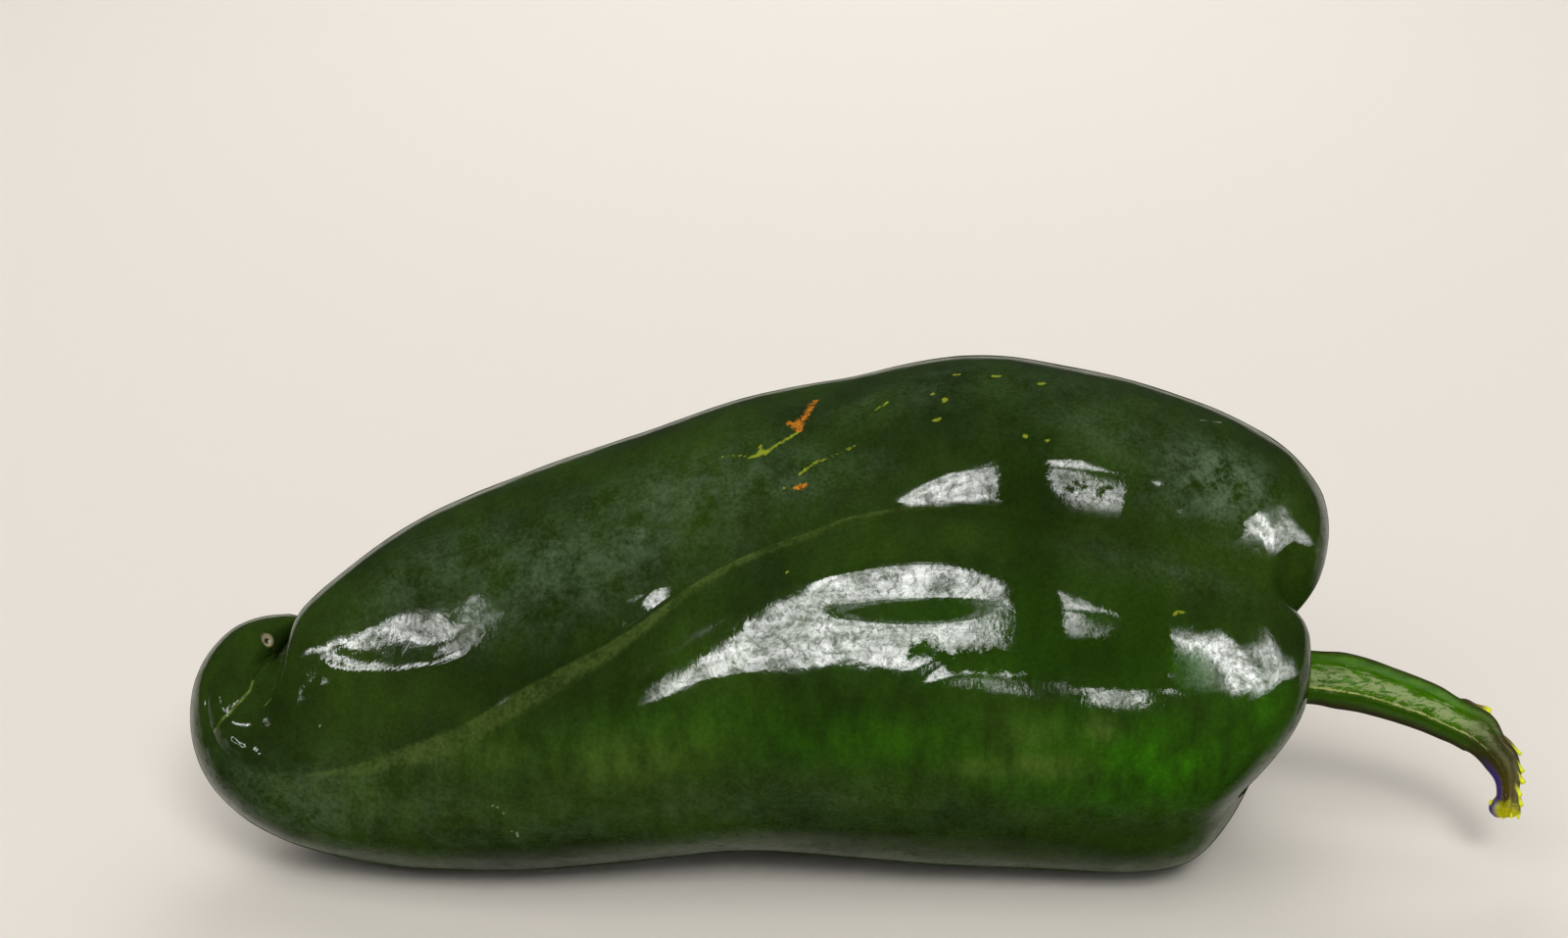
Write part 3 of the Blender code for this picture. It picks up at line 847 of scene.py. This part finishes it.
def waxSkin(m, values, scar):
    # more wax is rougher; the scar, the dull stripes, the furrow and the matte zones take the shine away
    (low, high), (smooth, rough) = skin["waxRange"], skin["roughness"]
    rough = addNode(m, "MapRange", Value=values["wax"], From_Min=low, From_Max=high,
                    To_Min=smooth, To_Max=rough)
    rough = addNode(m, "Math", multiplyAdding, s0=scar, s1=skin["scarRoughness"], s2=(rough, "Result"))
    soft, wild = skin["barEdge"]
    bar = addNode(m, "MapRange", smoothly, Value=roughen(m, values["bar"], values["crumb"], wild),
                  From_Min=soft, From_Max=skin["markFull"])
    worn = addNode(m, "Math", largest, s0=scar, s1=(bar, "Result"))
    for name in ("dull", "matte"):
        worn = addNode(m, "Math", largest, s0=(worn, "Value"), s1=values[name])
    shine = addNode(m, "MapRange", Value=(worn, "Value"), To_Min=skin["shine"], To_Max=0.0), "Result"
    for name, low, high, least in skin["shineBreaks"]:
        clean = addNode(m, "MapRange", Value=values[name], From_Min=low, From_Max=high, To_Min=least)
        shine = addNode(m, "Math", multiplying, s0=shine, s1=(clean, "Result")), "Value"
    glance = addNode(m, "LayerWeight", Blend=0.5)
    start, end = skin["outline"]
    fading = addNode(m, "MapRange", smoothly, Value=(glance, "Facing"), From_Min=start, From_Max=end,
                     To_Min=1.0, To_Max=0.0)
    shine = addNode(m, "Math", multiplying, s0=shine, s1=(fading, "Result"))
    return (rough, "Value"), (shine, "Value")


def makeSkin():
    m, values = startSkin("podSkin", skin, pod)
    color, scar = paintMarks(m, values, paintSkin(m, values))
    rough, shine = waxSkin(m, values, scar)
    surface = addNode(m, "BsdfPrincipled", Base_Color=color, Roughness=rough, IOR=skin["waxIor"],
                      Specular_IOR_Level=shine, Normal=raiseRelief(m, values, skin["heights"]))
    addNode(m, "OutputMaterial", Surface=(surface, "BSDF"))
    return m


# fresh chilli stalk: ridged as it grew, with a frosty bloom on its top face and darker, brown edges, so
# the eye sees a matte, streaked green, brown and yellow where it was torn off and dried; a painted highlight
# lies in the bloom and along one ridge, and painted shade darkens the underside
stemSkin = {
    "green": "#2c5400",
    "light": "#487802",
    # a frosty bloom with a painted highlight laid in it
    "bloomAndHighlight": "#93a06a",
    # painted highlight along one ridge
    "line": "#c6cc82",
    # painted shade: a darker green on the underside
    "under": "#294a04",
    "brown": "#2c2018",
    "edge": "#301f1c",
    "dark": "#332c10",
    "torn": "#4a4008",
    "purple": "#3c2a78",
    "tip": "#bcb808",
    "noises": {  # size in mm, detail, roughness, distortion
        "mottle": (0.8333, 4, 0.65, 0),
        "speckle": (0.5556, 5, 0.75, 0),
        "frost": (1.25, 6, 0.8, 0.6),
    },
    "stretches": {"mottle": (0.2, 1, 1), "frost": (0.4, 1, 1)},  # these are longer along the stem
    "lightRange": (0.35, 0.7),
    # stripes by the angle round the stem: where each ends and is fully there, strength, raggedness in degrees
    # the under stripe is painted shade
    "stripes": (("under", -30, -50, 0.85, 8), ("brown", -56, -72, 0.9, 10), ("edge", 54, 68, 0.85, 12)),
    # bands round an angle: noise, the angle, how far off each ends and is fully there, strength, raggedness
    # the bloom band holds a painted highlight, and the line band is a painted highlight
    "bands": (("bloomAndHighlight", "frost", 5.0, 21.0, 5.6, 0.7, 130), ("line", "speckle", -24.0, 3.75, 1.0, 0.7, 12)),
    # toward the torn end: section where each starts and is fully there, strength
    "ends": (("dark", 13.6, 16.0, 0.9), ("torn", 16.5, 18.5, 0.75), ("tip", 19.8, 21.3, 0.85)),
    "endRaggedness": 2.0,
    "purpleAngles": (-40, -62),  # on the inside of the bend
    "purpleSections": (16.0, 18.0),
    "heights": (("speckle", 0.06), ("mottle", 0.12)),  # mm
    "roughness": (0.35, 0.6),  # bare and under the bloom
    "ior": 1.42,
    "shine": 0.04,
}


def paintStem(m, values):
    color, _ = layOver(m, linearColor(stemSkin["green"]), linearColor(stemSkin["light"]), values["mottle"],
                       *stemSkin["lightRange"])
    # the under stripe is painted shade on the underside
    for name, gone, full, strength, wild in stemSkin["stripes"]:
        angle = roughen(m, values["around"], values["speckle"], wild)
        color, _ = layOver(m, color, linearColor(stemSkin[name]), angle, gone, full, strength)
    amounts = {}
    # the bloom band is partly a painted highlight, the line band is a painted highlight
    for name, noise, middle, gone, full, strength, wild in stemSkin["bands"]:
        away = addNode(m, "Math", {"operation": "SUBTRACT"}, s0=values["around"], s1=middle)
        away = addNode(m, "Math", {"operation": "ABSOLUTE"}, s0=(away, "Value"))
        away = roughen(m, (away, "Value"), values[noise], wild)
        tone = linearColor(stemSkin[name])
        color, amounts[name] = layOver(m, color, tone, away, gone, full, strength, smoothly)
    for name, gone, full, strength in stemSkin["ends"]:
        at = roughen(m, values["along"], values["mottle"], stemSkin["endRaggedness"])
        color, _ = layOver(m, color, linearColor(stemSkin[name]), at, gone, full, strength)
    gone, full = stemSkin["purpleAngles"]
    inner = addNode(m, "MapRange", Value=values["around"], From_Min=gone, From_Max=full)
    gone, full = stemSkin["purpleSections"]
    late = addNode(m, "MapRange", Value=values["along"], From_Min=gone, From_Max=full)
    amount = addNode(m, "Math", multiplying, s0=(inner, "Result"), s1=(late, "Result"))
    tone = linearColor(stemSkin["purple"])
    return (addNode(m, "Mix", colorMix, s0=(amount, "Value"), s6=color, s7=tone), 2), amounts["bloomAndHighlight"]


def makeStemSkin():
    m, values = startSkin("stemSkin", stemSkin, stem)
    color, bloomAndHighlight = paintStem(m, values)
    bare, frosted = stemSkin["roughness"]
    rough = addNode(m, "MapRange", Value=bloomAndHighlight, To_Min=bare, To_Max=frosted)
    relief = raiseRelief(m, values, stemSkin["heights"])
    surface = addNode(m, "BsdfPrincipled", Base_Color=color, Roughness=(rough, "Result"),
                      IOR=stemSkin["ior"], Specular_IOR_Level=stemSkin["shine"], Normal=relief)
    addNode(m, "OutputMaterial", Surface=(surface, "BSDF"))
    return m


# torn stalk fibre: pulled apart and dried, so the eye sees dull strips, brown at the root, yellow at the tip
fibreSkin = {
    "root": "#3a2f12",
    "middle": "#6c6208",
    "tip": "#dde20c",
    "steps": (("middle", 0.3, 0.7), ("tip", 0.65, 0.9)),  # where on a strip each starts and is fully there
    "roughness": 0.6,
    "ior": 1.45,
    "shine": 0.08,
}


def makeFibreSkin():
    m = newMaterial("fibreSkin")
    along = addNode(m, "Attribute", {"attribute_name": "along"})
    color = linearColor(fibreSkin["root"])
    for name, gone, full in fibreSkin["steps"]:
        color, _ = layOver(m, color, linearColor(fibreSkin[name]), (along, "Fac"), gone, full)
    surface = addNode(m, "BsdfPrincipled", Base_Color=color, Roughness=fibreSkin["roughness"],
                      IOR=fibreSkin["ior"], Specular_IOR_Level=fibreSkin["shine"])
    addNode(m, "OutputMaterial", Surface=(surface, "BSDF"))
    return m


fibres.data.materials.append(makeFibreSkin())
pod.data.materials.append(makeSkin())
stem.data.materials.append(makeStemSkin())
print("materials made")


# Floor, light and camera

# painted board: sanded and rolled with matte warm white, so it takes soft shadows and mirrors little
floorLook = {"color": "#e2dbd1", "size": 4.0, "middle": (0, 0.5, 0), "roughness": 0.9, "shine": 0.1}


def addPlane(name, size, middle):
    bpy.ops.mesh.primitive_plane_add(size=size, location=middle)
    plane, m = bpy.context.object, newMaterial(name)
    plane.name = name
    plane.data.materials.append(m)
    return plane, m


def makeFloor():
    floor, m = addPlane("floor", floorLook["size"], floorLook["middle"])
    surface = addNode(m, "BsdfPrincipled", Base_Color=linearColor(floorLook["color"]),
                      Roughness=floorLook["roughness"], Specular_IOR_Level=floorLook["shine"])
    addNode(m, "OutputMaterial", Surface=(surface, "BSDF"))


# azimuth of the left and right edge, elevation of the lower and upper edge, soft rim in degrees, brightness
windows = {
    "mainPane": (-22, 9, 8.5, 53, 1.0, 34),
    "lensPane": (-2, 9, 52, 59, 3.0, 9),
    "secondPane": (20, 36, 47, 57, 2.0, 30),
    "secondLowPane": (13, 26, 18, 47, 2.5, 26),
    "sidePane": (34, 62, 3, 47, 7.0, 42),
    "sideFarPane": (48, 90, -4, 36, 9.0, 22),
    "sideDimPane": (25, 43, 7, 42, 6.0, 8),
    "leftPane": (-78, -57, 27, 30, 0.6, 34),
    "leftMiddlePane": (-57, -50, 30.5, 35, 0.6, 34),
    "leftLowPane": (-57, -51.7, 25, 30.5, 0.5, 30),
    "leftHighPane": (-55, -50, 35, 40, 1.2, 34),
    "leftTopPane": (-50, -44, 33, 41, 0.6, 34),
    "leftUpperPane": (-50, -44, 41, 47, 1.5, 22),
    "leftEndPane": (-44, -33, 26, 45, 2.5, 20),
    "lowPane": (13, 16.5, 0, 8, 0.5, 24),
    "lowMiddlePane": (10.6, 12, 3, 8, 0.4, 20),
    "lowRightPane": (20, 23, 5, 9, 0.5, 16),
    "lowLeftPane": (4, 6, -1, 6, 0.5, 16),
}
# window glass with a thin curtain behind it, so what the skin mirrors is bright but patchy
glass = {
    "distance": 4.0,
    "steps": 20,
    "patchSize": 0.35,  # metres
    "patchRange": (0.38, 0.56),
    "dimmest": 0.5,  # share of the brightness
}
# these light the scene but don't show in the shine: azimuth, elevation, distance, wide, high, brightness
fills = {
    "key": (14, 46, 1.2, 0.35, 0.3, 15.5),
    "overhead": (180, 62, 0.9, 1.6, 0.9, 0.75),
    "lift": (-20, 55, 1.6, 1.8, 1.2, 2.2),
    "behind": (178, 38, 0.6, 0.3, 0.3, 3.2),
}
# the card stands for the dark room in front: the shine sees it over the floor, more of it farther out
room = {"haze": 0.04, "cardStart": -0.01, "cardFull": -0.022, "cardSize": 3.0, "cardHeight": 0.0002}


def direction(azimuths, elevations):
    # azimuth 0 is toward the viewer and more than 0 is to the right
    a, e = np.radians(azimuths), np.radians(elevations)
    return np.stack([np.sin(a) * np.cos(e), -np.cos(a) * np.cos(e), np.sin(e)], axis=-1)


def addLamp(name, azimuth, elevation, distance, wide, high, brightness):
    light = bpy.data.lights.new(name, "AREA")
    light.shape = "RECTANGLE"
    light.size, light.size_y = wide, high
    light.energy = math.pi * wide * high * brightness
    lamp = addObject(name, light)
    lamp.visible_glossy = False
    lamp.location = Vector(direction(azimuth, elevation)) * distance
    lamp.rotation_mode = "QUATERNION"
    lamp.rotation_quaternion = (-lamp.location).to_track_quat("-Z", "Y")


def showOnlyInShine(thing):
    thing.visible_camera = thing.visible_diffuse = thing.visible_shadow = thing.visible_transmission = False


def addPane(name, left, right, low, high, soft, brightness):
    # a piece of a sphere round the pepper, keyed by how far each point is inside its edges, in degrees
    steps = glass["steps"]
    azimuths, elevations = np.meshgrid(np.linspace(left, right, steps), np.linspace(low, high, steps))
    inside = np.min([azimuths - left, right - azimuths, elevations - low, high - elevations], axis=0)
    points = direction(azimuths, elevations) * glass["distance"]
    corner = np.arange(steps * steps).reshape(steps, steps)[:-1, :-1].reshape(-1, 1)
    mesh = bpy.data.meshes.new(name)
    mesh.from_pydata(points.reshape(-1, 3).tolist(), [], (corner + [0, 1, steps + 1, steps]).tolist())
    pane = addObject(name, mesh)
    addMask(pane, "inside", inside)
    m = newMaterial(name)
    place = addNode(m, "TexCoord")
    patch = addNode(m, "TexNoise", Vector=(place, "Object"), Scale=1 / glass["patchSize"],
                    Detail=4.0, Roughness=0.6)
    dim, bright = glass["patchRange"]
    amount = addNode(m, "MapRange", Value=(patch, "Fac"), From_Min=dim, From_Max=bright,
                     To_Min=brightness * glass["dimmest"], To_Max=brightness)
    rim = addNode(m, "Attribute", {"attribute_name": "inside"})
    rim = addNode(m, "MapRange", smoothly, Value=(rim, "Fac"), From_Max=soft)
    glowing = addNode(m, "Math", multiplying, s0=(amount, "Result"), s1=(rim, "Result"))
    glow = addNode(m, "Emission", Color=(1, 1, 1, 1), Strength=(glowing, "Value"))
    clear = addNode(m, "BsdfTransparent")  # panes that overlap add up
    added = addNode(m, "AddShader", s0=(glow, "Emission"), s1=(clear, "BSDF"))
    addNode(m, "OutputMaterial", Surface=(added, "Shader"))
    mesh.materials.append(m)
    showOnlyInShine(pane)


def addFrontCard():
    size, start, full = room["cardSize"], room["cardStart"], room["cardFull"]
    card, m = addPlane("frontCard", size, (0, start - size / 2, room["cardHeight"]))
    place = addNode(m, "TexCoord")
    place = addNode(m, "SeparateXYZ", Vector=(place, "Object"))
    amount = addNode(m, "MapRange", Value=(place, "Y"), From_Min=size / 2, From_Max=size / 2 + full - start)
    dark = addNode(m, "Emission", Color=(0, 0, 0, 1), Strength=0.0)
    clear = addNode(m, "BsdfTransparent")
    mixed = addNode(m, "MixShader", s0=(amount, "Result"), s1=(clear, "BSDF"), s2=(dark, "Emission"))
    addNode(m, "OutputMaterial", Surface=(mixed, "Shader"))
    showOnlyInShine(card)


def makeLights():
    for name, values in windows.items():
        addPane(name, *values)
    for name, values in fills.items():
        addLamp(name, *values)
    addFrontCard()
    world = bpy.data.worlds.new("world")
    bpy.context.scene.world = world
    world.use_nodes = True
    background = world.node_tree.nodes["Background"].inputs
    background["Color"].default_value = (1, 1, 1, 1)
    background["Strength"].default_value = room["haze"]


eye = {
    "lens": 70,
    "sensor": 36,
    "clip": (0.01, 50),
    "size": (1600, 957),  # pixels of the picture that the next two values are read from
    "middle": (772, 640),  # the pixel at which the fruit's own middle is seen
    "mmPerPixel": 135 / 1155,
}


def makeCamera():
    width, height = eye["size"]
    focal = eye["lens"] / eye["sensor"] * width
    acrossPixels = eye["middle"][0] - width / 2
    downPixels = eye["middle"][1] - height / 2
    pitch = viewElevation - math.atan(downPixels / focal)
    turn = Euler((math.pi / 2 - pitch, 0, 0))
    ray = turn.to_matrix() @ Vector((acrossPixels / focal, -downPixels / focal, -1))
    camera = addObject("camera", bpy.data.cameras.new("camera"))
    camera.data.lens, camera.data.sensor_width = eye["lens"], eye["sensor"]
    camera.data.clip_start, camera.data.clip_end = eye["clip"]
    middle = Vector((-origin[0], -origin[1], -tableHeight)) * mm
    camera.location = middle - ray * (focal * eye["mmPerPixel"] * mm)
    camera.rotation_euler = turn
    bpy.context.scene.camera = camera


makeFloor()
makeLights()
makeCamera()
bpy.context.scene.view_settings.view_transform = "Standard"
print("floor, light and camera made")

pieces = (
    (pod, "pod", "pod_skin"),
    (stem, "stem_and_calyx", "stem_skin"),
    (fibres, "stem_and_calyx", "stem_skin"),
)
for piece, node, slotName in pieces:
    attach(piece, "root")
    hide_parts(node)

print("finished")
